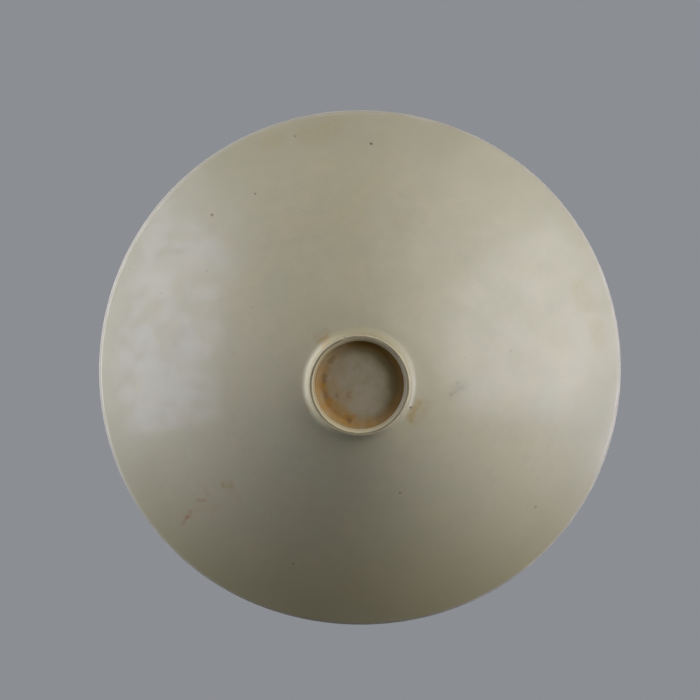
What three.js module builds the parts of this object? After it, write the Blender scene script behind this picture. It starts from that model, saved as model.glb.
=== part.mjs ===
// A shallow conical porcelain bowl on a small turned foot, standing upright.
// Sizes are millimetres. +Z points up along the axis that the bowl was thrown on,
// and the origin is at the centre of the narrow face that the foot rests on.
import * as THREE from "three";

// Wall and lip
const mouthDiameter = 200;
const bowlHeight = 52;
const lipThickness = 1.8;
const outsideBow = 3.8; // how far the outside curves away from a straight line, foot to lip
const insideBow = 3.5; // the same for the inside, well to lip

// Well, the flat middle of the inside
const wellDiameter = 32; // across the corner where its floor and the wall would meet
const wellCornerRadius = 14;
const floorThickness = 4; // clay between the well and the recess of the foot

// Foot
const footDiameter = 36.2; // across the outer edge of its resting face
const restingFaceWidth = 0.8;
const footHeight = 5; // up to where its side would meet the underside of the wall
const footChamfer = 0.4;
const footSideFlare = 0.3; // how much wider its side is at the top than at the chamfer
const coveRadius = 4.2; // of the hollow curve from its side into the wall

// Recess that is turned into the foot
const recessDepth = 4.6;
const recessBevelWidth = 1.1;
const recessBevelHeight = 1.1;
const recessSideDraft = 0.5; // how much narrower the recess is at its floor than at the bevel
const recessCornerRadius = 2.4;

// Glaze, which stops short of the lip and of the resting face
const glazeThickness = 0.3;
const bareLipBand = 0.8;
const bareFootBand = 0.3; // above the foot's chamfer outside, and above its bevel inside

// Facets
const segmentsAround = 64;
const wallSteps = 8;
const cornerSteps = 4;

// The largest share of a straight side that a rounded corner takes up
const cornerRoom = 0.9;

const point = (radius, height) => new THREE.Vector2(radius, height);
const between = (from, to, share) => from.clone().lerp(to, share);

// The point on a straight stretch of the profile that lies a distance from its start
function along(from, to, distance) {
  return between(from, to, distance / from.distanceTo(to));
}

// Points of an arc that rounds a corner, made tighter where its sides are too short for it
function roundCorner(before, corner, after, radius) {
  const toBefore = before.clone().sub(corner).normalize();
  const toAfter = after.clone().sub(corner).normalize();
  const halfAngle = Math.acos(toBefore.dot(toAfter)) / 2;
  const room = cornerRoom * Math.min(before.distanceTo(corner), after.distanceTo(corner));
  const reach = Math.min(radius / Math.tan(halfAngle), room);
  const fittedRadius = reach * Math.tan(halfAngle);
  const middle = toBefore.clone().add(toAfter).normalize();
  const centre = corner.clone().addScaledVector(middle, fittedRadius / Math.sin(halfAngle));
  const first = corner.clone().addScaledVector(toBefore, reach).sub(centre);
  const last = corner.clone().addScaledVector(toAfter, reach).sub(centre);
  const turn = Math.atan2(first.cross(last), first.dot(last));
  return Array.from({ length: cornerSteps + 1 }, (_, step) =>
    first.clone().rotateAround(point(0, 0), (turn * step) / cornerSteps).add(centre),
  );
}

// The middle control point of a wall line that bows outwards and down between two ends
function bowControl(start, end, bow) {
  const direction = end.clone().sub(start).normalize();
  return between(start, end, 0.5).add(point(direction.y, -direction.x).multiplyScalar(2 * bow));
}

// The angle at which a wall line that starts at a corner runs into the lip
function angleAtLip(start, bow) {
  const reach = lipCentre.clone().sub(start);
  return reach.angle() + Math.atan((4 * bow) / reach.length());
}

function lipPoint(angle) {
  return lipCentre.clone().add(point(Math.cos(angle), Math.sin(angle)).multiplyScalar(lipRadius));
}

// Points up a wall line as far as the edge of its glaze
function glazedWall(start, control, end) {
  const curve = new THREE.QuadraticBezierCurve(start, control, end);
  const glazed = 1 - bareLipBand / curve.getLength();
  return Array.from({ length: wallSteps }, (_, step) =>
    curve.getPointAt((glazed * (step + 1)) / wallSteps),
  );
}

// The lip is a half round that the two sides of the wall run into
const lipRadius = lipThickness / 2;
const lipCentre = point(mouthDiameter / 2 - lipRadius, bowlHeight - lipRadius);

// The foot's profile, from the floor of its recess down to the resting face and up its side
const restingOuter = point(footDiameter / 2, 0);
const restingInner = point(restingOuter.x - restingFaceWidth, 0);
const bevelTop = point(restingInner.x - recessBevelWidth, recessBevelHeight);
const recessCorner = point(bevelTop.x - recessSideDraft, recessDepth);
const recessCentre = point(0, recessDepth);
const chamferTop = point(restingOuter.x + footChamfer, footChamfer);
const footCorner = point(chamferTop.x + footSideFlare, footHeight);
const recessGlazeEdge = along(bevelTop, recessCorner, bareFootBand);
const footGlazeEdge = along(chamferTop, footCorner, bareFootBand);

// The outside of the wall, from the cove above the foot to the lip
const outsideAngle = angleAtLip(footCorner, outsideBow);
const outsideLipEdge = lipPoint(outsideAngle - Math.PI / 2);
const outsideControl = bowControl(footCorner, outsideLipEdge, outsideBow);
const cove = roundCorner(footGlazeEdge, footCorner, outsideControl, coveRadius);
const outsideWall = glazedWall(cove.at(-1), outsideControl, outsideLipEdge);

// The inside, from the middle of the well to the lip
const wellCentre = point(0, recessDepth + floorThickness);
const wellCorner = point(wellDiameter / 2, wellCentre.y);
const insideAngle = angleAtLip(wellCorner, insideBow);
const insideLipEdge = lipPoint(insideAngle + Math.PI / 2);
const insideControl = bowControl(wellCorner, insideLipEdge, insideBow);
const wellEdge = roundCorner(wellCentre, wellCorner, insideControl, wellCornerRadius);
const insideWall = glazedWall(wellEdge.at(-1), insideControl, insideLipEdge);

const recessEdge = roundCorner(recessCentre, recessCorner, recessGlazeEdge, recessCornerRadius);

// Lines that clay and glaze share point for point, so that they meet face to face
const recessLine = [recessCentre, ...recessEdge, recessGlazeEdge];
const outsideLine = [footGlazeEdge, ...cove, ...outsideWall];
const insideLine = [wellCentre, ...wellEdge, ...insideWall];

// A solid of revolution whose faces point out, whichever way round its profile runs
function turned(profile) {
  const geometry = new THREE.LatheGeometry(profile, segmentsAround);
  geometry.rotateX(Math.PI / 2);
  if (THREE.ShapeUtils.area(profile) < 0) {
    const corners = geometry.index.array;
    for (let i = 0; i < corners.length; i += 3) {
      [corners[i], corners[i + 2]] = [corners[i + 2], corners[i]];
    }
  }
  return geometry;
}

// The free surface of a glaze coat, moved off its clay to the left of the line
function glazeSurface(line, thickness) {
  return line.map((spot, i) => {
    const before = line[Math.max(i - 1, 0)];
    const after = line[Math.min(i + 1, line.length - 1)];
    const direction = after.clone().sub(before).normalize();
    return spot.clone().add(point(-direction.y, direction.x).multiplyScalar(thickness));
  });
}

// The bare edge of a coat slopes back by the coat's own thickness
function slopeEnd(surface) {
  const end = surface.at(-1);
  return [...surface.slice(0, -1), along(end, surface.at(-2), glazeThickness)];
}

// The lip's points include its widest and its highest, so that both sizes of the bowl are true
function lipLine() {
  const widest = 0;
  const highest = Math.PI / 2;
  const halfway = (widest + highest) / 2;
  const corners = [widest, halfway, highest].map(lipPoint);
  return [outsideLipEdge, ...corners, insideLipEdge];
}

function wallProfile() {
  const underside = [recessCentre, recessEdge[0], cove.at(-1), ...outsideWall];
  return [...underside, ...lipLine(), ...insideLine.toReversed()];
}

function footProfile() {
  const recess = [...recessEdge, recessGlazeEdge, bevelTop];
  const side = [chamferTop, footGlazeEdge, ...cove];
  return [...recess, restingInner, restingOuter, ...side, recessEdge[0]];
}

function insideGlazeProfile() {
  return [...slopeEnd(glazeSurface(insideLine, glazeThickness)), ...insideLine.toReversed()];
}

function outsideGlazeProfile() {
  const surface = slopeEnd(glazeSurface(outsideLine, -glazeThickness)).toReversed();
  return [...outsideLine, ...slopeEnd(surface), outsideLine[0]];
}

function recessGlazeProfile() {
  return [...recessLine, ...slopeEnd(glazeSurface(recessLine, -glazeThickness)).toReversed()];
}

const fireClay = new THREE.MeshStandardMaterial({ color: "#d3cabd", roughness: 0.8, metalness: 0 });
const ivoryGlaze = new THREE.MeshStandardMaterial({ color: "#d5ccb0", roughness: 0.25, metalness: 0 });
const stainedGlaze = new THREE.MeshStandardMaterial({ color: "#b8a585", roughness: 0.4, metalness: 0 });

function piece(name, profile, material) {
  const mesh = new THREE.Mesh(turned(profile), material);
  mesh.name = name;
  return mesh;
}

// One fired clay body, modelled as its wall with the floor and its foot ring
const clay = new THREE.Group();
clay.add(piece("bowl_wall", wallProfile(), fireClay));
clay.add(piece("foot_ring", footProfile(), fireClay));

// Three coats of glaze, which bare clay parts at the lip and at the resting face
const glaze = new THREE.Group();
glaze.add(piece("inside_glaze", insideGlazeProfile(), ivoryGlaze));
glaze.add(piece("outside_glaze", outsideGlazeProfile(), ivoryGlaze));
glaze.add(piece("recess_glaze", recessGlazeProfile(), stainedGlaze));

const bowl = new THREE.Group();
bowl.add(clay, glaze);

export default bowl;
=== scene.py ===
# A shallow porcelain bowl with an ivory glaze, on a small turned foot, seen from below.
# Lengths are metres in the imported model's frame: +Z up the bowl's axis, the origin under its foot.
import math

import bpy
from mathutils import Matrix, Vector


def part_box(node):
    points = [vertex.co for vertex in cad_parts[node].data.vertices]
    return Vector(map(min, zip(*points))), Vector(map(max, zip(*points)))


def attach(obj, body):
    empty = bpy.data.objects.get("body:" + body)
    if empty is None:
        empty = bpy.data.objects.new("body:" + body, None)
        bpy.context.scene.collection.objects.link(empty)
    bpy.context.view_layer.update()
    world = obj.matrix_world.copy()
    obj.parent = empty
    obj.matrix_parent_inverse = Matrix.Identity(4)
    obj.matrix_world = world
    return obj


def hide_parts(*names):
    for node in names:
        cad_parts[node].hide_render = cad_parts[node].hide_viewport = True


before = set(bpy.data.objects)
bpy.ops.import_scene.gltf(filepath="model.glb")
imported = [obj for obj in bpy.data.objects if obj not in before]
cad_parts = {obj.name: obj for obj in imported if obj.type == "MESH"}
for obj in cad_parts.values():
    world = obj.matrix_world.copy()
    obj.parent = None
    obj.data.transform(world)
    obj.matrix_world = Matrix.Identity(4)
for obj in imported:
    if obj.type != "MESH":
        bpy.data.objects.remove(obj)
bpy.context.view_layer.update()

# The wall of the bowl, with its floor and its lip: porcelain clay, thrown on a wheel and fired.
# Glaze hides it on both sides, and it shows only as a thin pale line round the lip, where the
# glaze was wiped off. The fire has pulled its mouth a little out of round.
millimetre = 0.001
mouth_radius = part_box("bowl_wall")[1].x
bowl_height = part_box("bowl_wall")[1].z
recess_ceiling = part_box("bowl_wall")[0].z
lip_radius = 0.9 * millimetre
bare_lip_band = 0.8 * millimetre
outside_bow = 3.8 * millimetre
inside_bow = 3.5 * millimetre
floor_thickness = 4 * millimetre
well_radius = 16 * millimetre
well_corner_radius = 14 * millimetre
foot_radius = 18.1 * millimetre
foot_chamfer = 0.4 * millimetre
foot_side_flare = 0.3 * millimetre
foot_height = 5 * millimetre
bare_foot_band = 0.3 * millimetre
cove_radius = 4.2 * millimetre
resting_face_width = 0.8 * millimetre
recess_bevel_width = 1.1 * millimetre
recess_bevel_height = 1.1 * millimetre
recess_draft = 0.5 * millimetre
recess_corner_radius = 2.4 * millimetre
wall_steps = 60
arc_steps = 12
wall_facets = 360


def along(start, end, distance):
    """The point at a distance from the start of a straight stretch."""
    return start + (end - start).normalized() * distance


def round_corner(before, corner, after, radius):
    """Points of the arc that rounds a corner of a profile."""
    to_before = (before - corner).normalized()
    to_after = (after - corner).normalized()
    half_angle = to_before.angle(to_after) / 2
    reach = radius / math.tan(half_angle)
    centre = corner + (to_before + to_after).normalized() * (radius / math.sin(half_angle))
    first = corner + to_before * reach - centre
    last = corner + to_after * reach - centre
    turn = -first.angle_signed(last)
    steps = range(arc_steps + 1)
    return [centre + Matrix.Rotation(turn * step / arc_steps, 2) @ first for step in steps]


def bow_control(start, end, bow):
    """The control point of a wall line that bows out and down between its two ends."""
    direction = (end - start).normalized()
    return (start + end) / 2 + Vector((direction.y, -direction.x)) * (2 * bow)


def bowed_line(start, control, end):
    """Points of a wall line, after its start."""
    shares = [step / wall_steps for step in range(1, wall_steps + 1)]
    return [start * (1 - s) ** 2 + control * (2 * s * (1 - s)) + end * s**2 for s in shares]


def lip_point(angle):
    return lip_centre + Vector((math.cos(angle), math.sin(angle))) * lip_radius


def angle_at_lip(start, bow):
    """The angle at which a wall line that starts at a corner runs into the lip."""
    reach = lip_centre - start
    return math.atan2(reach.y, reach.x) + math.atan(4 * bow / reach.length)


def split_before_end(line, band):
    """Parts a line of points at a distance before its end."""
    kept = list(line)
    bare = [kept.pop()]
    left_over = band
    while (bare[0] - kept[-1]).length < left_over:
        left_over -= (bare[0] - kept[-1]).length
        bare.insert(0, kept.pop())
    kept.append(along(bare[0], kept[-1], left_over))
    return kept, bare


lip_centre = Vector((mouth_radius - lip_radius, bowl_height - lip_radius))
recess_centre = Vector((0, recess_ceiling))
resting_outer = Vector((foot_radius, 0))
resting_inner = resting_outer - Vector((resting_face_width, 0))
bevel_top = resting_inner + Vector((-recess_bevel_width, recess_bevel_height))
recess_corner = Vector((bevel_top.x - recess_draft, recess_ceiling))
chamfer_top = resting_outer + Vector((foot_chamfer, foot_chamfer))
foot_corner = Vector((chamfer_top.x + foot_side_flare, foot_height))
recess_glaze_edge = along(bevel_top, recess_corner, bare_foot_band)
foot_glaze_edge = along(chamfer_top, foot_corner, bare_foot_band)
well_centre = Vector((0, recess_ceiling + floor_thickness))
well_corner = Vector((well_radius, well_centre.y))

outside_angle = angle_at_lip(foot_corner, outside_bow)
outside_lip_edge = lip_point(outside_angle - math.pi / 2)
outside_control = bow_control(foot_corner, outside_lip_edge, outside_bow)
cove = round_corner(foot_glaze_edge, foot_corner, outside_control, cove_radius)
outside_wall = bowed_line(cove[-1], outside_control, outside_lip_edge)
outside_glazed, outside_bare = split_before_end(outside_wall, bare_lip_band)

inside_angle = angle_at_lip(well_corner, inside_bow)
inside_lip_edge = lip_point(inside_angle + math.pi / 2)
inside_control = bow_control(well_corner, inside_lip_edge, inside_bow)
well_edge = round_corner(well_centre, well_corner, inside_control, well_corner_radius)
inside_wall = bowed_line(well_edge[-1], inside_control, inside_lip_edge)
inside_glazed, inside_bare = split_before_end(inside_wall, bare_lip_band)

recess_edge = round_corner(recess_centre, recess_corner, recess_glaze_edge, recess_corner_radius)
lip_turn = inside_angle - outside_angle + math.pi
lip_shares = [step / arc_steps for step in range(1, arc_steps)]
lip = [lip_point(outside_angle - math.pi / 2 + share * lip_turn) for share in lip_shares]


class Amount:
    """What one output of a node gives. Python's operators on it add Math nodes to its tree."""

    def __init__(self, tree, socket=None):
        self.tree = tree
        self.socket = socket

    def node(self, kind, settings=None, sockets=None):
        """Adds a node: its settings first, and then the values or links of its sockets."""
        node = self.tree.nodes.new(kind)
        for name, value in (settings or {}).items():
            setattr(node, name, value)
        for name, value in (sockets or {}).items():
            socket = self.named(node.inputs, name)
            if isinstance(value, Amount):
                self.tree.links.new(value.socket, socket)
            else:
                socket.default_value = value
        shown = [output for output in node.outputs if output.enabled]
        return Amount(self.tree, shown[0] if shown else None)

    def named(self, sockets, name):
        """The socket with a number, an identifier or a name."""
        if isinstance(name, int):
            return sockets[name]
        return next(s for s in sockets if name in (s.identifier, s.name))

    def output(self, name):
        """Another output of the same node."""
        return Amount(self.tree, self.named(self.socket.node.outputs, name))

    def maths(self, operation, *values):
        return self.node("ShaderNodeMath", {"operation": operation}, dict(enumerate(values)))

    def vector_maths(self, operation, *values):
        return self.node("ShaderNodeVectorMath", {"operation": operation}, dict(enumerate(values)))

    def at_most(self, limit):
        return self.maths("MINIMUM", self, limit)

    def __add__(self, other):
        return self.maths("ADD", self, other)

    def __sub__(self, other):
        return self.maths("SUBTRACT", self, other)

    def __rsub__(self, other):
        return self.maths("SUBTRACT", other, self)

    def __mul__(self, other):
        return self.maths("MULTIPLY", self, other)

    def __truediv__(self, other):
        return self.maths("DIVIDE", self, other)

    def __pow__(self, other):
        return self.maths("POWER", self, other)

    __radd__ = __add__
    __rmul__ = __mul__


def rising(amount, low, high):
    """A smooth step from 0, where the amount is low, to 1, where it is high."""
    sockets = {"Value": amount, "From Min": low, "From Max": high, "To Min": 0.0, "To Max": 1.0}
    return amount.node("ShaderNodeMapRange", {"interpolation_type": "SMOOTHSTEP"}, sockets)


def within(distance, width, core=0.2):
    """1 in the core of a round mark, as a share of its width, falling to 0 at its edge."""
    return 1 - rising(distance, core * width, 0.5 * width)


def xyz(amount, x, y, z):
    return amount.node("ShaderNodeCombineXYZ", {}, {"X": x, "Y": y, "Z": z})


def split_xyz(place):
    parts = place.node("ShaderNodeSeparateXYZ", {}, {"Vector": place})
    return parts.output("X"), parts.output("Y"), parts.output("Z")


def from_axis(place):
    """Where a place lies across the bowl, and how far it is from the bowl's axis."""
    x, y, _ = split_xyz(place)
    return x, y, (x * x + y * y) ** 0.5


def shifted(place, seed):
    """The place moved aside by a seed, to where a pattern looks different."""
    if not seed:
        return place
    return place.vector_maths("ADD", place, (0.1 * seed, -0.1 * seed, 0.1 * seed))


def noise(place, size, detail=2.0, roughness=0.5, seed=0.0):
    """Clouds from 0 to 1, about as wide as their size. Each seed gives others."""
    place = shifted(place, seed)
    sockets = {"Vector": place, "Scale": 1 / size, "Detail": detail, "Roughness": roughness}
    return place.node("ShaderNodeTexNoise", {}, sockets)


def moved(place, direction, distance):
    """A place moved along a direction."""
    scaled = {0: direction, "Scale": distance}
    step = place.node("ShaderNodeVectorMath", {"operation": "SCALE"}, scaled)
    return place.vector_maths("ADD", place, step)


# The fire pulled the mouth out of round: how many lobes, how far in mm, their angle in degrees
warp_lobes = ((2, 0.44, -8), (3, 0.18, 35), (4, 0.27, -42))
warp_reach = 1.25  # it grows from the foot out to this many mouth radii
warp_gain = 1.117  # and is made this much more, so that it is nearly whole at the mouth
warp_falls = 0.8  # how far the mouth sinks, as a share of how far it is pulled out
hand_wobble = 0.12 * millimetre
hand_wobble_size = 38 * millimetre
trimming_wobble = 0.05 * millimetre
trimming_wobble_size = 5 * millimetre
trimming_reach = 1.3  # the marks of the turning tool end at this many foot radii

# The edges of the coats wander in and out, and their waves are measured round a circle of radius 1
edge_wander = 0.16 * millimetre
edge_wander_size = 0.22
weld_distance = 0.001 * millimetre
crisp_corner = math.radians(38)

# Small chips in the foot's edges: where they are across the bowl and their width, in mm
foot_nicks = (
    (-5.3, -17.4, 1.1),
    (14.2, -12.6, 1.0),
    (17.0, 7.3, 0.9),
    (-0.7, 18.1, 1.2),
    (6.3, 17.5, 0.8),
    (-17.1, 3.9, 0.7),
    (-11.6, 13.6, 0.6),
)

# What the potter's wheel is given
wheel_sockets = {
    "Profile": "Geometry",
    "Steps around": "Int",
    "Mouth radius": "Float",
    "Foot radius": "Float",
    "Edge wander": "Float",
    "Nick depth": "Float",
    "Seed": "Float",
    "Finish": "Material",
}


def nicks(place):
    """1 in the middle of each chip in the foot, falling to 0 at its edge."""
    chipped = 0
    for x, y, width in foot_nicks:
        spot = (x * millimetre, y * millimetre, 0)
        away = place.vector_maths("DISTANCE", place, spot).output("Value")
        chipped = within(away, width * millimetre) + chipped
    return chipped


def out_of_round(x, y):
    """How far the fire pulled the mouth out of its true circle, on the side of a spot."""
    angle = y.maths("ARCTAN2", y, x)
    outward = 0
    for count, amount, turn in warp_lobes:
        wave = (angle - math.radians(turn)) * count
        outward = wave.maths("COSINE", wave) * (amount * millimetre) + outward
    return outward


def turned_solid(given):
    """One column of points for each step round the axis, each of them a copy of the profile."""
    profile = given.output("Profile")
    steps = given.output("Steps around")
    counts = given.node("GeometryNodeAttributeDomainSize", {}, {"Geometry": profile})
    columns = steps + 1
    rows = {"Vertices X": counts.output("Point Count"), "Vertices Y": columns}
    grid = given.node("GeometryNodeMeshGrid", {}, rows).output("Mesh")
    index = given.node("GeometryNodeInputIndex")
    row = index.maths("FLOOR", (index + 0.5) / columns)
    turn = (index - row * columns) / steps * math.tau
    vectors = {"data_type": "FLOAT_VECTOR"}

    def from_profile(value):
        """What the profile holds at a point's row, turned to the point's column."""
        found = {"Geometry": profile, "Value": value, "Index": row}
        flat = given.node("GeometryNodeSampleIndex", vectors, found)
        sockets = {"Vector": flat, "Angle": turn}
        return given.node("ShaderNodeVectorRotate", {"rotation_type": "Z_AXIS"}, sockets)

    pull = from_profile(given.node("GeometryNodeInputNamedAttribute", vectors, {"Name": "edge_pull"}))
    circle = xyz(turn, turn.maths("COSINE", turn), turn.maths("SINE", turn), given.output("Seed"))
    wander = (noise(circle, edge_wander_size, detail=3.0) - 0.5) * given.output("Edge wander") * 2
    placed = moved(from_profile(given.node("GeometryNodeInputPosition")), pull, wander)
    solid = given.node("GeometryNodeSetPosition", {}, {"Geometry": grid, "Position": placed})
    closed = {"Geometry": solid, "Distance": weld_distance}
    return given.node("GeometryNodeMergeByDistance", {}, closed)


def warped(given, solid):
    """The warp, the wobble of the hand and the nicks. They go by place, which keeps the clay and
    its glaze together."""
    place = given.node("GeometryNodeInputPosition")
    x, y, radius = from_axis(place)
    foot = given.output("Foot radius")
    share = rising(radius, foot, given.output("Mouth radius") * warp_reach) * warp_gain
    outward = out_of_round(x, y) * share
    cuts = noise(place, trimming_wobble_size) - 0.5
    near_foot = 1 - rising(radius, foot, foot * trimming_reach)
    outward = outward + cuts * near_foot * (2 * trimming_wobble)
    flat_place = xyz(x, x, y, 0.0)
    lift = (noise(flat_place, hand_wobble_size) - 0.5) * (2 * hand_wobble) * share
    lift = lift - outward * warp_falls * share
    lift = lift + nicks(place) * given.output("Nick depth")
    shift = xyz(x, x / radius * outward, y / radius * outward, lift)
    return given.node("GeometryNodeSetPosition", {}, {"Geometry": solid, "Offset": shift})


def smoothed(given, solid):
    """Faces that point out and shade smoothly, except over the corners that stay crisp."""
    bend = given.node("GeometryNodeInputMeshEdgeAngle")
    soft = bend.maths("LESS_THAN", bend, crisp_corner)
    solid = given.node("GeometryNodeFlipFaces", {}, {"Mesh": solid})
    for domain, smooth in (("FACE", True), ("EDGE", soft)):
        shading = {"Geometry": solid, "Shade Smooth": smooth}
        solid = given.node("GeometryNodeSetShadeSmooth", {"domain": domain}, shading)
    return solid


def make_wheel():
    """Geometry nodes that turn a profile into a closed solid, with the warp of its firing."""
    tree = bpy.data.node_groups.new("potters_wheel", "GeometryNodeTree")
    tree.is_modifier = True
    for name, kind in wheel_sockets.items():
        tree.interface.new_socket(name, in_out="INPUT", socket_type="NodeSocket" + kind)
    tree.interface.new_socket("Solid", in_out="OUTPUT", socket_type="NodeSocketGeometry")
    given = Amount(tree).node("NodeGroupInput")
    solid = smoothed(given, warped(given, turned_solid(given)))
    solid = given.node("GeometryNodeRealizeInstances", {}, {"Geometry": solid})
    finish = {"Geometry": solid, "Material": given.output("Finish")}
    solid = given.node("GeometryNodeSetMaterial", {}, finish)
    given.node("NodeGroupOutput", {}, {"Solid": solid})
    return tree


wheel = make_wheel()
wheel_inputs = {item.name: item.identifier for item in wheel.interface.items_tree}


def turn_on_wheel(name, profile, steps, finish, pulls=(), nick_depth=0.0, seed=0.0):
    """Turns a profile, listed anticlockwise, into the mesh of one piece."""
    mesh = bpy.data.meshes.new(name)
    corners = [(spot.x, 0, spot.y) for spot in profile]
    mesh.from_pydata(corners, [(i, i + 1) for i in range(len(corners) - 1)], [])
    pulls = pulls or [Vector((0, 0))] * len(profile)
    attribute = mesh.attributes.new("edge_pull", "FLOAT_VECTOR", "POINT")
    attribute.data.foreach_set("vector", [part for pull in pulls for part in (pull.x, 0, pull.y)])
    piece = bpy.data.objects.new(name, mesh)
    bpy.context.scene.collection.objects.link(piece)
    turning = piece.modifiers.new("wheel", "NODES")
    turning.node_group = wheel
    turning[wheel_inputs["Steps around"]] = steps
    turning[wheel_inputs["Mouth radius"]] = mouth_radius
    turning[wheel_inputs["Foot radius"]] = foot_radius
    turning[wheel_inputs["Edge wander"]] = edge_wander
    turning[wheel_inputs["Nick depth"]] = nick_depth
    turning[wheel_inputs["Seed"]] = seed
    turning[wheel_inputs["Finish"]] = finish
    depsgraph = bpy.context.evaluated_depsgraph_get()
    piece.data = bpy.data.meshes.new_from_object(piece.evaluated_get(depsgraph))
    piece.modifiers.clear()
    return piece


def new_finish(name):
    """An empty material, and the place on the piece that its patterns follow."""
    material = bpy.data.materials.new(name)
    material.use_nodes = True
    material.node_tree.nodes.clear()
    place = Amount(material.node_tree).node("ShaderNodeTexCoord").output("Object")
    return material, place


def finish_with(place, shader):
    place.node("ShaderNodeOutputMaterial", {}, {"Surface": shader})


def blend(first, second, share):
    """A colour between two colours, of which the first may be an amount."""
    sockets = {"Factor_Float": share, "A_Color": first, "B_Color": second}
    return share.node("ShaderNodeMix", {"data_type": "RGBA"}, sockets)


def relief(height):
    """The slopes that light sees on a surface with a height in metres."""
    return height.node("ShaderNodeBump", {}, {"Height": height, "Distance": 1.0})


def finish_with_clay(place, colour, grain, grain_height, roughness):
    """Bare fired clay, a little rougher where its grain stands up."""
    sockets = {
        "Base Color": colour,
        "Roughness": rising(grain, 0.2, 0.8) * 0.15 + roughness,
        "Normal": relief(grain * grain_height),
    }
    finish_with(place, place.node("ShaderNodeBsdfPrincipled", {}, sockets))


lip_clay = (0.50, 0.455, 0.335, 1)
lip_clay_pale = (0.58, 0.53, 0.40, 1)
lip_clay_stained = (0.50, 0.39, 0.31, 1)
lip_patch_size = 9 * millimetre
lip_stain_size = 4 * millimetre
lip_grain = 0.5 * millimetre
lip_grain_height = 0.02 * millimetre
lip_roughness = 0.5


def clay_for_lip():
    material, place = new_finish("bare_lip_clay")
    patches = noise(place, lip_patch_size, detail=4.0)
    stains = noise(place, lip_stain_size, detail=4.0, roughness=0.6, seed=3.0)
    grain = noise(place, lip_grain, detail=3.0, roughness=0.7)
    colour = blend(lip_clay, lip_clay_pale, rising(patches, 0.45, 0.75))
    colour = blend(colour, lip_clay_stained, rising(stains, 0.58, 0.75) * 0.6)
    colour = blend(colour, lip_clay_stained, rising(grain, 0.55, 0.8) * 0.25)
    finish_with_clay(place, colour, grain, lip_grain_height, lip_roughness)
    return material


outside_clay = [recess_centre, recess_edge[0], cove[-1], *outside_glazed, *outside_bare]
inside_clay = [*inside_bare[::-1], *inside_glazed[::-1], *well_edge[::-1], well_centre]
wall_profile = [*outside_clay, *lip, *inside_clay]
bowl_wall = turn_on_wheel("clay_wall", wall_profile, wall_facets, clay_for_lip())
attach(bowl_wall, "root")
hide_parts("bowl_wall")

# The foot ring: cut from the same clay with a turning tool while the bowl stood upside down.
# Its narrow resting face and the bevel inside it are bare, so that it didn't stick in the kiln.
# Years of standing on shelves have worn the face pale, and left grime and chips along its edges.
foot_edge_radius = 0.14 * millimetre
foot_facets = 640
nick_depth = 0.22 * millimetre
foot_patch_size = 3.5 * millimetre
foot_flash_size = 6 * millimetre
foot_grain = 0.45 * millimetre
foot_grain_height = 0.03 * millimetre
foot_roughness = 0.55
foot_clay = (0.69, 0.595, 0.35, 1)
foot_clay_worn = (0.82, 0.71, 0.42, 1)
foot_clay_grime = (0.31, 0.26, 0.16, 1)
foot_clay_flashed = (0.62, 0.43, 0.23, 1)

# Where the clay's look changes, from the start of the change to its end
above_shelf = (0.3 * millimetre, 0.6 * millimetre)
grime_line = resting_inner.x + 0.25 * millimetre
beside_grime_line = (0.1 * millimetre, 0.4 * millimetre)
over_outer_edge = (resting_outer.x - 0.1 * millimetre, resting_outer.x + 0.15 * millimetre)
off_bevel = (bevel_top.x + 0.3 * millimetre, bevel_top.x + 0.8 * millimetre)
off_left_side = (-13 * millimetre, -7 * millimetre)


def soften(points, radius):
    """Rounds each inner corner of a line of points."""
    softened = [points[0]]
    for before, corner, after in zip(points, points[1:], points[2:]):
        softened += round_corner(before, corner, after, radius)
    return [*softened, points[-1]]


def clay_for_foot():
    material, place = new_finish("bare_foot_clay")
    x, _, radius = from_axis(place)
    _, _, z = split_xyz(place)
    grain = noise(place, foot_grain, detail=3.0, roughness=0.7)
    patches = noise(place, foot_patch_size, detail=4.0, roughness=0.6)
    flashes = noise(place, foot_flash_size, detail=3.0, roughness=0.6, seed=2.0)

    # Shelves have worn what stands on them, and grime lies along the face's two edges
    resting = 1 - rising(z, *above_shelf)
    from_line = radius - grime_line
    inner_edge = 1 - rising(from_line.maths("ABSOLUTE", from_line), *beside_grime_line)
    outer_edge = rising(radius, *over_outer_edge)
    colour = blend(foot_clay, foot_clay_flashed, rising(flashes, 0.5, 0.75) * 0.5)
    colour = blend(colour, foot_clay_worn, resting * rising(patches, 0.1, 0.45))
    colour = blend(colour, foot_clay_grime, inner_edge * resting * rising(patches, 0.35, 0.6) * 0.4)
    colour = blend(colour, foot_clay_grime, outer_edge * resting * 0.45)

    # The fire flashed the bevel orange on the left, and grime sits in the grain and the chips
    bevel = 1 - rising(radius, *off_bevel)
    left = 1 - rising(x, *off_left_side)
    colour = blend(colour, foot_clay_flashed, bevel * left * 0.7)
    colour = blend(colour, foot_clay_grime, rising(grain, 0.6, 0.8) * 0.35)
    colour = blend(colour, foot_clay_grime, nicks(place) * 0.7)
    finish_with_clay(place, colour, grain, foot_grain_height, foot_roughness)
    return material


rim_of_foot = [recess_glaze_edge, bevel_top, resting_inner, resting_outer, chamfer_top, foot_glaze_edge]
foot_profile = [*recess_edge, *soften(rim_of_foot, foot_edge_radius), *cove, recess_edge[0]]
foot_ring = turn_on_wheel("turned_foot", foot_profile, foot_facets, clay_for_foot(), nick_depth=nick_depth)
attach(foot_ring, "root")
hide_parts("foot_ring")

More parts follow.
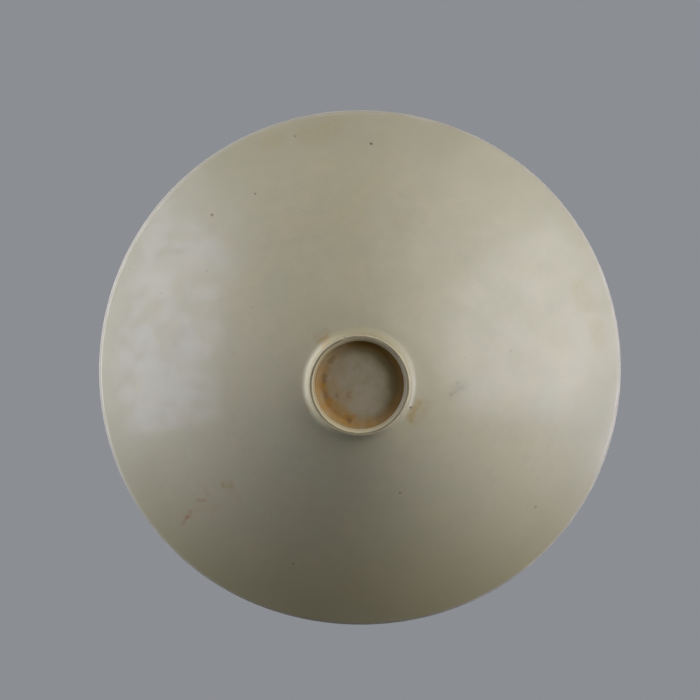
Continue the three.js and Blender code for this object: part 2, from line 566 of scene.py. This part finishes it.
# The outside glaze: one coat of ivory glass, fused to the clay from the lip to the foot's side.
# It is satin rather than mirror bright, mottled where it ran and deeper towards the rim, with painted
# shade on its lower side and in the cove of the foot. It holds iron specks, ochre stains and a grey
# scuff, and its edges end in low rounded beads.
glaze_thickness = 0.3 * millimetre
bead_width = 0.5 * millimetre
bead_steps = 8
edge_pull_width = 1.2 * millimetre
foot_edge_pull = 0.4  # how far the edge on the foot wanders, as a share of the one at the lip
outside_facets = 480
ivory = (0.57, 0.515, 0.319, 1)
ivory_cool = (0.54, 0.505, 0.333, 1)
ivory_warm = (0.605, 0.515, 0.31, 1)
ivory_rim = (0.49, 0.452, 0.285, 1)
# Painted shade: the darker ivory of the foot's cove and side
ivory_cove_shade = (0.43, 0.375, 0.205, 1)
# Painted shade: the darker ivory that the lower side of the picture is blended towards
ivory_painted_shade_low = (0.42, 0.352, 0.15, 1)
ivory_pale = (0.61, 0.545, 0.363, 1)
ivory_grey = (0.50, 0.465, 0.307, 1)
ochre = (0.47, 0.325, 0.12, 1)
iron_brown = (0.15, 0.10, 0.055, 1)
scuff_grey = (0.37, 0.35, 0.215, 1)
rosy_brown = (0.46, 0.24, 0.12, 1)

# How wide the patterns of the glaze are, and how high its relief
cloud_size = 42 * millimetre
swell_size = 24 * millimetre
swell_height = 0.3 * millimetre
patch_size = 12 * millimetre
patch_height = 0.12 * millimetre
mottle_size = 5 * millimetre
blotch_size = 1.8 * millimetre
peel_size = 3.2 * millimetre
peel_height = 0.007 * millimetre
pinhole_spacing = 2.4 * millimetre
pinhole_width = 0.42 * millimetre
pinhole_depth = 0.03 * millimetre
grit_spacing = 6 * millimetre
grit_width = 0.8 * millimetre

# The glassy runs: blotches, and streaks that run at an angle in degrees
run_blotch_size = 13 * millimetre
run_turn = 82
run_length = 34 * millimetre
run_width = 5 * millimetre

# Ragged edges: how wide the clouds are that move them, and how far
ragged_stain = (2.6 * millimetre, 0.9 * millimetre)
ragged_spread = (7 * millimetre, 3 * millimetre)
ragged_run = (9 * millimetre, 3 * millimetre)

# Its gloss: a broad sheen under a sharper one
glass = 1.45
glaze_roughness = 0.62
glaze_coat = 0.7
coat_glass = 1.5
coat_roughness = 0.15

# Where the look of the glaze changes, from the start of the change to its end
towards_rim = (0.74 * mouth_radius, mouth_radius)
towards_shaded_lower_side = (25 * millimetre, 100 * millimetre)
off_foot = (foot_corner.x, foot_corner.x + 3.5 * millimetre)
towards_smooth_side = (-20 * millimetre, 30 * millimetre)

# Marks on the wall: from x, y to x, y and their width, in mm across the bowl, and their strength
iron_marks = (
    (4.1, -87.0, 4.5, -86.9, 1.3, 0.9),
    (-55.6, -60.5, -55.3, -60.2, 1.2, 0.7),
    (-39.3, -68.4, -39.0, -68.2, 1.1, 0.6),
    (-24.6, -89.9, -24.3, -89.7, 0.9, 0.6),
    (14.8, 41.6, 15.1, 41.8, 1.0, 0.7),
    (66.7, 50.8, 67.0, 50.6, 1.0, 0.6),
    (-25.5, 71.8, -25.2, 71.6, 1.0, 0.5),
    (18.6, 8.5, 18.8, 8.8, 1.1, 0.9),
)
ochre_marks = (
    (-52.0, 40.4, -51.6, 41.2, 2.2, 0.5),
    (-51.0, 39.8, -47.8, 40.4, 4.2, 0.4),
    (-55.8, 51.6, -54.4, 50.0, 3.0, 0.22),
    (-13.4, -14.8, -11.6, -16.6, 4.0, 0.6),
    (-14.6, -16.4, -12.2, -19.0, 6.0, 0.3),
    (18.6, 12.8, 20.8, 7.6, 4.8, 0.5),
    (20.0, 13.6, 23.4, 9.4, 9.0, 0.3),
    (-19.5, 7.5, -18.4, 10.4, 2.4, 0.35),
    (83.4, -32.0, 86.6, -27.0, 10.0, 0.25),
    (89.5, -18.0, 91.0, -12.0, 9.0, 0.2),
    (-20.0, -90.0, -9.0, -93.0, 12.0, 0.25),
    (-36.0, -87.0, -31.0, -88.6, 10.0, 0.2),
    (14.0, -58.0, 22.0, -60.0, 9.0, 0.12),
)
rosy_marks = (
    (-64.4, 52.6, -65.6, 54.6, 3.0, 0.55),
    (-65.6, 54.6, -67.9, 57.8, 2.2, 0.45),
    (-61.6, 47.6, -58.4, 47.2, 2.0, 0.4),
    (-62.0, 51.0, -58.0, 50.6, 5.0, 0.12),
    (-58.0, 42.0, -57.6, 45.0, 3.2, 0.16),
    (-48.4, 42.0, -45.6, 45.0, 5.0, 0.14),
)
scuff_marks = (
    (33.9, 4.4, 34.3, 4.0, 2.8, 0.5),
    (35.6, 3.0, 37.4, 2.2, 3.0, 0.45),
    (36.0, 0.6, 36.3, 0.2, 2.0, 0.3),
    (33.4, 4.0, 37.8, 1.4, 8.0, 0.25),
)

# Hair scratches: which way they run in degrees, their length and width in mm, and the clouds' value
# at which they start to show and show in full
outside_scratches = (
    (35, 22, 0.35, 0.66, 0.74),
    (-62, 16, 0.3, 0.67, 0.75),
)


def refined_end(line):
    """Adds points before the end of a line, close enough for the bead of a glaze edge."""
    shares = [1 - math.cos(math.pi / 2 * step / bead_steps) for step in range(bead_steps + 1)]
    kept, last = split_before_end(line, bead_width)
    fine = [along(last[-1], kept[-1], bead_width * share) for share in reversed(shares)]
    return [*kept[:-1], *fine]


def stations(line):
    """Each point of a line, with the line's direction there and its way from the two ends."""
    total = sum((after - before).length for before, after in zip(line, line[1:]))
    run = 0
    for i, spot in enumerate(line):
        before = line[max(i - 1, 0)]
        after = line[min(i + 1, len(line) - 1)]
        run += (spot - before).length
        yield spot, (after - before).normalized(), run, total - run


def glaze_surface(line, side, bead_at_start):
    """The free surface of a coat, on one side of the line of clay that it is fused to."""
    surface = []
    for spot, direction, run, left in stations(line):
        room = min(run, left) if bead_at_start else left
        inset = 1 - min(max(room, 0) / bead_width, 1)
        thickness = glaze_thickness * math.sqrt(1 - inset**2)
        surface.append(spot + Vector((-direction.y, direction.x)) * (side * thickness))
    return surface


def edge_pulls(line, at_start):
    """How far each point of a coat goes along with the wandering of its edges, and which way."""
    pulls = []
    for _, direction, run, left in stations(line):
        near_end = max(1 - left / edge_pull_width, 0)
        near_start = max(1 - run / edge_pull_width, 0) if at_start else 0
        pulls.append(direction * (near_end + near_start * foot_edge_pull))
    return pulls


def turn_coat(name, line, side, steps, finish, bead_at_start=False, seed=0.0):
    """Turns a coat of glaze: its free surface, and the line of clay that it is fused to."""
    surface = glaze_surface(line, side, bead_at_start)
    pulls = edge_pulls(line, bead_at_start)
    profile = [*line, *surface[::-1]] if side > 0 else [*surface, *line[::-1]]
    return turn_on_wheel(name, profile, steps, finish, pulls + pulls[::-1], seed=seed)


def stroke(place, start, end, width):
    """1 along a straight mark across the bowl, falling to 0 at its edge."""
    x, y, _ = split_xyz(place)
    step = end - start
    x = x - start.x
    y = y - start.y
    share = {0: x * step.x + y * step.y, 1: step.length_squared}
    share = place.node("ShaderNodeMath", {"operation": "DIVIDE", "use_clamp": True}, share)
    x = x - share * step.x
    y = y - share * step.y
    return within((x * x + y * y) ** 0.5, width, core=0.12)


def marks(place, strokes):
    """How strongly the marks of a list show at a place."""
    shown = 0
    for from_x, from_y, to_x, to_y, width, strength in strokes:
        start = Vector((from_x, from_y)) * millimetre
        end = Vector((to_x, to_y)) * millimetre
        shown = stroke(place, start, end, width * millimetre) * strength + shown
    return shown


def ragged(place, size, distance):
    """The place moved about by clouds, so that what is drawn by it gets a ragged edge."""
    clouds = noise(place, size, detail=3.0, roughness=0.65, seed=11.0).output("Color")
    centred = place.vector_maths("SUBTRACT", clouds, (0.5, 0.5, 0.5))
    return moved(place, centred, 2 * distance)


def specks(place, spacing, width, share, seed):
    """1 in small round specks, strewn at random and about as far apart as their spacing."""
    sockets = {"Vector": shifted(place, seed), "Scale": 1 / spacing}
    cells = place.node("ShaderNodeTexVoronoi", {}, sockets)
    chance, _, _ = split_xyz(cells.output("Color"))
    return within(cells.output("Distance"), width / spacing) * chance.maths("LESS_THAN", chance, share)


def drawn_out(place, turn, length, width):
    """Fine lines from 0 to 1, turned about the bowl's axis, as hair scratches and runs are."""
    sockets = {"Vector": place, "Rotation": (0, 0, math.radians(turn)), "Scale": (width / length, 1, 1)}
    lines = place.node("ShaderNodeMapping", {}, sockets)
    return noise(lines, width, detail=1.0)


def scratches(place, hairs):
    """How strongly the hair scratches of a list show at a place."""
    shown = 0
    for turn, length, width, start, full in hairs:
        lines = drawn_out(place, turn, length * millimetre, width * millimetre)
        shown = rising(lines, start, full) + shown
    return shown


def ivory_tone(clouds, patches):
    """The glaze's own colour: cool where the coat is thick, and warm where it is thin."""
    colour = blend(ivory, ivory_cool, rising(clouds, 0.35, 0.7) * 0.7)
    return blend(colour, ivory_warm, rising(patches, 0.45, 0.75) * 0.55)


def orange_peel(place, hole_spacing, hole_share, peel_seed, hole_seed):
    """The finest relief of the glaze: an orange skin, with pinholes in it."""
    peel = noise(place, peel_size, detail=3.0, roughness=0.55, seed=peel_seed)
    holes = specks(place, hole_spacing, pinhole_width, hole_share, hole_seed)
    return peel * peel_height - holes * pinhole_depth


def glaze_shader(place, colour, rough, coat_weight, height, base_glass=glass):
    sockets = {
        "Base Color": colour,
        "Roughness": rough,
        "IOR": base_glass,
        "Coat Weight": coat_weight,
        "Coat Roughness": coat_roughness,
        "Coat IOR": coat_glass,
        "Normal": relief(height),
    }
    return place.node("ShaderNodeBsdfPrincipled", {}, sockets)


def outside_tone(place, patches):
    """Mottled ivory, deeper towards the rim, with painted shade on the lower side and in the foot's cove."""
    _, y, radius = from_axis(place)
    clouds = noise(place, cloud_size, detail=3.0)
    rim_clouds = noise(place, swell_size, detail=3.0, seed=6.0)
    mottle = noise(place, mottle_size, detail=4.0, roughness=0.6, seed=10.0)
    colour = ivory_tone(clouds, patches)
    colour = blend(colour, ivory_pale, rising(mottle, 0.5, 0.7) * 0.35)
    colour = blend(colour, ivory_grey, (1 - rising(mottle, 0.3, 0.5)) * 0.3)
    near_rim = rising(radius, *towards_rim)
    colour = blend(colour, ivory_rim, near_rim * (rising(rim_clouds, 0.3, 0.65) * 0.4 + 0.45))
    # Painted shade: darker towards the lower side of the picture, where less light falls
    colour = blend(colour, ivory_painted_shade_low, rising(y, *towards_shaded_lower_side) * 0.7)
    # Painted shade: darker in the cove and on the side of the foot
    return blend(colour, ivory_cove_shade, (1 - rising(radius, *off_foot)) * 0.85)


def outside_stains(place, colour):
    """Ochre and rosy stains and the scuff, all of them blotchy and ragged."""
    stained = ragged(place, *ragged_stain)
    spread = ragged(place, *ragged_spread)
    blotches = rising(noise(place, blotch_size, detail=4.0, roughness=0.65, seed=4.0), 0.3, 0.6)
    colour = blend(colour, ochre, marks(spread, ochre_marks) * (blotches * 0.5 + 0.5))
    colour = blend(colour, rosy_brown, marks(stained, rosy_marks) * (blotches * 0.6 + 0.4))
    return blend(colour, scuff_grey, marks(stained, scuff_marks) * (blotches * 0.5 + 0.5))


def glassy_runs(place):
    """1 where the coat is glassy, in blotches and runs down the bowl as it stood."""
    run_down = ragged(place, *ragged_run)
    blotches = noise(run_down, run_blotch_size, detail=4.0, roughness=0.55, seed=7.0)
    streaks = drawn_out(place, run_turn, run_length, run_width)
    return rising(blotches * 0.65 + streaks * 0.35, 0.4, 0.6)


def glaze_for_outside():
    material, place = new_finish("outside_ivory_glaze")
    x, _, radius = from_axis(place)
    patches = noise(place, patch_size, detail=4.0, roughness=0.6, seed=2.0)
    grit = specks(place, grit_spacing, grit_width, share=0.2, seed=1.0)
    dots = marks(place, iron_marks) + grit * 0.45
    colour = outside_stains(place, outside_tone(place, patches))
    colour = blend(colour, iron_brown, dots.at_most(1.0))

    # The gloss is uneven, but less so towards the right of the picture, and dull on the foot
    glassy = glassy_runs(place)
    scratched = scratches(place, outside_scratches)
    uneven = 0.7 - rising(x, *towards_smooth_side) * 0.35
    on_foot = 1 - rising(radius, *off_foot)
    coat_weight = glaze_coat + (glassy - 0.5) * uneven * 0.6
    coat_weight = coat_weight - scratched * 0.15 - dots * 0.3 - on_foot * 0.5
    rough = glaze_roughness - glassy * 0.06 + scratched * 0.12

    # The relief: a lumpy coat that swells and sinks, with an orange skin on it
    swell = noise(place, swell_size, roughness=0.4, seed=13.0)
    height = (patches * patch_height + swell * swell_height) * uneven
    height = height + orange_peel(place, pinhole_spacing, 0.3, 9.0, 5.0)
    finish_with(place, glaze_shader(place, colour, rough, coat_weight, height))
    return material


foot_start = refined_end([*cove[::-1], foot_glaze_edge])[::-1]
outside_line = refined_end([*foot_start, *outside_glazed])
outside_glaze = turn_coat(
    "outside_coat", outside_line, -1, outside_facets, glaze_for_outside(), bead_at_start=True
)
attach(outside_glaze, "root")
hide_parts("outside_glaze")

# The recess glaze: the same glass inside the foot ring, thinner, duller and left unwiped.
# Iron from the clay has stained it orange on the left and brown in its corner. Towards the right it is
# painted darker olive and brown, for dirt and for painted shadow where the foot ring shades it.
recess_facets = 320
recess_ivory = (0.50, 0.42, 0.28, 1)
recess_olive = (0.42, 0.36, 0.215, 1)
iron_orange = (0.52, 0.29, 0.08, 1)
iron_dark = (0.24, 0.135, 0.06, 1)
corner_brown = (0.48, 0.28, 0.07, 1)
dirt_and_shadow_olive = (0.24, 0.18, 0.07, 1)
dirt_and_shadow_brown = (0.24, 0.135, 0.025, 1)
recess_patch_size = 5 * millimetre
recess_patch_height = 0.05 * millimetre
recess_mottle_size = 1.6 * millimetre
recess_mottle_height = 0.012 * millimetre
recess_speck_spacing = 3 * millimetre
recess_speck_width = 0.7 * millimetre
recess_roughness = 0.4
recess_coat_weight = 0.2
thin_glass = 1.3
into_corner = (12.4 * millimetre, 15 * millimetre)
ragged_iron = (4.5 * millimetre, 2.2 * millimetre)
ragged_dirt_and_shadow = (4 * millimetre, 0.8 * millimetre)
ragged_wipe = (4 * millimetre, 1.5 * millimetre)

# Stains: from x, y to x, y and their width, in mm across the bowl, and their strength
orange_stains = (
    (-7.6, -12.0, -11.6, -8.2, 6.5, 0.6),
    (-13.2, -5.6, -14.4, 0.8, 6.0, 0.75),
    (-14.2, 1.6, -12.0, 6.8, 6.0, 0.7),
    (-10.8, 8.0, -4.6, 12.6, 8.5, 1.0),
    (-4.6, 13.2, 3.6, 13.8, 5.5, 0.55),
    (-11.2, 1.4, -5.0, 5.0, 9.0, 0.35),
    (-6.0, -6.0, -9.0, -2.0, 8.0, 0.2),
    (9.6, 10.6, 13.0, 5.4, 4.0, 0.3),
)
dark_stains = (
    (-13.0, -3.4, -13.2, -1.2, 2.8, 0.5),
    (-12.8, 3.6, -12.4, 4.8, 2.6, 0.4),
    (-3.9, 12.6, -3.3, 12.9, 2.6, 0.6),
    (-8.2, 4.3, -7.6, 4.9, 2.2, 0.35),
    (-4.4, 3.6, -3.6, 4.2, 2.6, 0.25),
    (-10.6, -8.4, -9.6, -9.8, 3.0, 0.4),
)
# Dirt and painted shadow, from the top over the right to the lower right of the recess
dirt_and_shadow_in_corner = (
    (-6.0, -15.4, 4.0, -15.6, 13.0, 0.65),
    (4.0, -15.6, 11.6, -11.0, 16.0, 0.65),
    (11.6, -11.0, 15.6, -2.0, 16.0, 0.65),
    (15.6, -2.0, 14.6, 5.8, 15.0, 0.6),
    (14.6, 5.8, 9.6, 12.4, 11.0, 0.4),
)
wiped_clean = ((-13.2, -8.4, -6.0, -14.0, 6.0, 0.55),)


def glaze_for_recess():
    material, place = new_finish("stained_recess_glaze")
    _, _, radius = from_axis(place)
    patches = noise(place, recess_patch_size, detail=4.0, roughness=0.6, seed=5.0)
    mottle = noise(place, recess_mottle_size, detail=4.0, roughness=0.65, seed=3.0)
    colour = blend(recess_ivory, recess_olive, rising(patches, 0.4, 0.65) * 0.7)

    # Iron stains on the left, then dirt with painted shadow towards the right, and the brown film of the
    # corner
    stained = ragged(place, *ragged_iron)
    orange = marks(stained, orange_stains) * (rising(mottle, 0.2, 0.8) * 0.6 + 0.4)
    colour = blend(colour, iron_orange, orange.at_most(1.0))
    # Dirt and painted shadow: darker olive and brown on the recess's right, where the ring shades it
    dirt_and_shadow = marks(ragged(place, *ragged_dirt_and_shadow), dirt_and_shadow_in_corner)
    colour = blend(colour, dirt_and_shadow_olive, dirt_and_shadow.at_most(0.9))
    corner = rising(radius, *into_corner)
    colour = blend(colour, corner_brown, corner * (rising(patches, 0.35, 0.65) * 0.6 + 0.3))
    # Painted shadow and dirt, darkest in the corner
    colour = blend(colour, dirt_and_shadow_brown, dirt_and_shadow * corner * 0.75)

    # A spot at the upper left was wiped clean, and dark spots lie over everything
    wiped = marks(ragged(place, *ragged_wipe), wiped_clean)
    colour = blend(colour, recess_olive, wiped)
    grit = specks(place, recess_speck_spacing, recess_speck_width, share=0.3, seed=2.0)
    dark = marks(stained, dark_stains) + grit * 0.5
    colour = blend(colour, iron_dark, dark.at_most(1.0))
    rough = rising(patches, 0.3, 0.7) * 0.12 + orange * 0.1 + recess_roughness
    height = patches * recess_patch_height + mottle * recess_mottle_height
    finish_with(place, glaze_shader(place, colour, rough, recess_coat_weight, height, thin_glass))
    return material


recess_line = refined_end([recess_centre, *recess_edge, recess_glaze_edge])
recess_glaze = turn_coat("recess_coat", recess_line, -1, recess_facets, glaze_for_recess())
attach(recess_glaze, "root")
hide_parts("recess_glaze")

# The inside glaze: one coat from the middle of the well to just under the lip.
# The photo doesn't show it, so it has the outside's ivory, a little deeper where it pooled in the
# well, with the faint rings of the throwing under it and the hair scratches of use.
inside_facets = 420
inside_edge_seed = 4.0
well_ivory = (0.53, 0.485, 0.30, 1)
ring_spacing = 5.2 * millimetre
ring_height = 0.02 * millimetre
ring_wobble = 1.5 * millimetre
inside_patch_height = 0.045 * millimetre
inside_pinhole_spacing = 2.6 * millimetre
inside_grit_spacing = 7 * millimetre
inside_grit_width = 0.9 * millimetre
towards_inner_rim = (0.8 * mouth_radius, mouth_radius)
out_of_well = (0.6 * well_radius, 1.7 * well_radius)
beyond_spoons = (well_radius, 0.75 * mouth_radius)
spoon_scratches = (
    (20, 26, 0.3, 0.64, 0.74),
    (-48, 20, 0.3, 0.65, 0.75),
    (75, 15, 0.25, 0.66, 0.76),
)


def glaze_for_inside():
    material, place = new_finish("inside_ivory_glaze")
    _, _, radius = from_axis(place)
    clouds = noise(place, cloud_size, detail=3.0, seed=12.0)
    patches = noise(place, patch_size, detail=4.0, roughness=0.6, seed=8.0)
    near_rim = rising(radius, *towards_inner_rim)
    pooled = 1 - rising(radius, *out_of_well)
    dots = specks(place, inside_grit_spacing, inside_grit_width, share=0.22, seed=3.0)
    colour = ivory_tone(clouds, patches)
    colour = blend(colour, ivory_rim, near_rim * rising(patches, 0.3, 0.6) * 0.4)
    colour = blend(colour, well_ivory, pooled * 0.6)
    colour = blend(colour, iron_brown, dots * 0.6)

    # Spoons have scratched it, most of all near the well
    used = 1 - rising(radius, *beyond_spoons) * 0.7
    scratched = scratches(place, spoon_scratches) * used
    glassy = rising(patches, 0.35, 0.65)
    coat_weight = glassy * 0.3 + glaze_coat - scratched * 0.3
    rough = glaze_roughness - glassy * 0.08 + scratched * 0.14

    # The rings that the thrower's fingers left, under a lumpy coat
    turns = (radius + patches * ring_wobble) / ring_spacing * math.tau
    rings = turns.maths("SINE", turns) * rising(clouds, 0.25, 0.75)
    height = rings * ring_height + patches * inside_patch_height
    height = height + orange_peel(place, inside_pinhole_spacing, 0.25, 14.0, 6.0)
    finish_with(place, glaze_shader(place, colour, rough, coat_weight, height))
    return material


inside_line = refined_end([well_centre, *well_edge, *inside_glazed])
inside_finish = glaze_for_inside()
inside_glaze = turn_coat(
    "inside_coat", inside_line, 1, inside_facets, inside_finish, seed=inside_edge_seed
)
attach(inside_glaze, "root")
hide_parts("inside_glaze")

# The studio's floor and air: a pale floor that is seen from above only, because the camera looks
# up through it, and plain grey behind everything. The lamps shine up through the floor too, so a
# shaded disc hides them from the glaze near the foot, which would mirror them from the side.
backdrop = (0.26, 0.27, 0.29, 1)
air_glow = 0.01
floor_colour = (0.72, 0.72, 0.70, 1)
floor_radius = 3.0
floor_fade = (0.35, 1.2)
shade_colour = (0.45, 0.455, 0.46, 1)
shade_radius = 66 * millimetre
shade_place = Vector((-20, 30, -0.2)) * millimetre
disc_sides = 96


def floor_finish():
    """Paint that fades out far from the bowl, and isn't there when seen from below."""
    material, place = new_finish("pale_floor")
    _, _, radius = from_axis(place)
    far = rising(radius, *floor_fade)
    paint = place.node("ShaderNodeBsdfDiffuse", {}, {"Color": floor_colour})
    clear = place.node("ShaderNodeBsdfTransparent")
    below = place.node("ShaderNodeNewGeometry").output("Backfacing")
    hidden = far.maths("MAXIMUM", far, below)
    finish_with(place, place.node("ShaderNodeMixShader", {}, {0: hidden, 1: paint, 2: clear}))
    return material


def shaded_floor_finish():
    material, place = new_finish("shaded_floor")
    finish_with(place, place.node("ShaderNodeBsdfDiffuse", {}, {"Color": shade_colour}))
    return material


def floor_disc(name, radius, finish):
    """A round sheet of floor that throws no shadow and gives the bowl no light."""
    bpy.ops.mesh.primitive_circle_add(vertices=disc_sides, radius=radius, fill_type="NGON")
    disc = bpy.context.object
    disc.name = name
    disc.data.materials.append(finish)
    disc.visible_shadow = False
    disc.visible_diffuse = False
    return disc


studio_floor = floor_disc("studio_floor", floor_radius, floor_finish())
studio_floor.visible_glossy = False

floor_under_foot = floor_disc("floor_under_foot", shade_radius, shaded_floor_finish())
floor_under_foot.location = shade_place
floor_under_foot.visible_camera = False

world = bpy.data.worlds.new("studio_air")
bpy.context.scene.world = world
world.use_nodes = True
world.node_tree.nodes.clear()
air = Amount(world.node_tree)
rays = air.node("ShaderNodeLightPath")
seen = rays.output("Is Camera Ray") + rays.output("Is Glossy Ray") + rays.output("Is Transmission Ray")
fill = air.node("ShaderNodeBackground", {}, {"Color": (1, 1, 1, 1), "Strength": air_glow})
behind = air.node("ShaderNodeBackground", {}, {"Color": backdrop, "Strength": 1.0})
sky = air.node("ShaderNodeMixShader", {}, {0: seen.at_most(1.0), 1: fill, 2: behind})
air.node("ShaderNodeOutputWorld", {}, {"Surface": sky})

# The lamps: soft boxes that all face the bowl. A window stands on either side, with dimmer boxes
# next to it, so that its sheen on the glaze ends softly. Level strips light the rim, a low one in
# front warms the underside, and the wide one over the mouth lights the inside.
lamp_distance = 1.2
lamp_aim = Vector((0, 0, bowl_height / 2))


def soft_light(name, azimuth, elevation, size, watts, colour=(1, 1, 1)):
    """A soft box that faces the bowl from a direction in degrees, hidden from the camera."""
    lamp = bpy.data.lights.new(name, "AREA")
    lamp.shape = "RECTANGLE"
    lamp.size, lamp.size_y = size
    lamp.energy = watts
    lamp.color = colour
    light = bpy.data.objects.new(name, lamp)
    bpy.context.scene.collection.objects.link(light)
    turn = Matrix.Rotation(math.radians(azimuth), 3, "Z") @ Matrix.Rotation(math.radians(-elevation), 3, "Y")
    direction = turn @ Vector((1, 0, 0))
    light.location = lamp_aim + direction * lamp_distance
    light.rotation_euler = (-direction).to_track_quat("-Z", "Y").to_euler()
    light.visible_camera = False


soft_light("right_window", -9, -27, (1.24, 0.62), 3.0, (0.97, 1.02, 1.22))
soft_light("right_curtain", -25, -28, (1.88, 0.8), 3.3, (0.99, 1.0, 1.12))
soft_light("right_glow", -36, -29, (2.2, 1.0), 4.5, (1.01, 1.0, 1.02))
soft_light("right_strip", 4, 2, (1.1, 0.15), 7.4, (0.96, 1.0, 1.4))
soft_light("left_window", 190, 13, (1.5, 0.54), 17.7, (0.98, 1.0, 1.15))
soft_light("left_pane", 189, -20, (1.28, 0.44), 2.25, (0.91, 1.01, 1.48))
soft_light("left_curtain", 195, -21, (1.62, 0.5), 1.35, (0.93, 0.99, 1.38))
soft_light("top_strip", 272, 1, (0.6, 0.15), 1.4, (1.02, 1.0, 1.0))
soft_light("low_front", 270, -60, (0.9, 0.9), 1.0, (1.05, 0.97, 0.8))
soft_light("over_mouth", -60, 76, (1.5, 1.5), 15)

# The camera looks up at the underside, a little from above in the picture and from its right.
# In the picture +X points right and +Y down.
tilt = math.radians(5.96)
side_angle = math.radians(0.18)
camera_distance = 0.9
lens = 120.4
sensor = 36.0
picture_side = 700
rim_centre_pixel = (359.85, 370.55)
metres_per_pixel = camera_distance * sensor / lens / picture_side
across = math.sin(side_angle)
towards_camera = Vector((across, -math.sin(tilt), -math.cos(tilt))).normalized()
picture_right = (Vector((1, 0, 0)) - towards_camera * across).normalized()
picture_up = towards_camera.cross(picture_right)
rim_centre = Vector((0, 0, bowl_height))
off_centre = Vector(rim_centre_pixel) - Vector((picture_side / 2, picture_side / 2))
aim = rim_centre - (picture_right * off_centre.x - picture_up * off_centre.y) * metres_per_pixel
back = (rim_centre + towards_camera * camera_distance - aim).normalized()
upright = back.cross(picture_right).normalized()
camera_data = bpy.data.cameras.new("camera")
camera_data.lens = lens
camera_data.sensor_width = sensor
camera = bpy.data.objects.new("camera", camera_data)
bpy.context.scene.collection.objects.link(camera)
camera.location = rim_centre + towards_camera * camera_distance
axes = Matrix((upright.cross(back), upright, back)).transposed()
camera.rotation_euler = axes.to_euler()
bpy.context.scene.camera = camera
bpy.context.scene.view_settings.view_transform = "Standard"
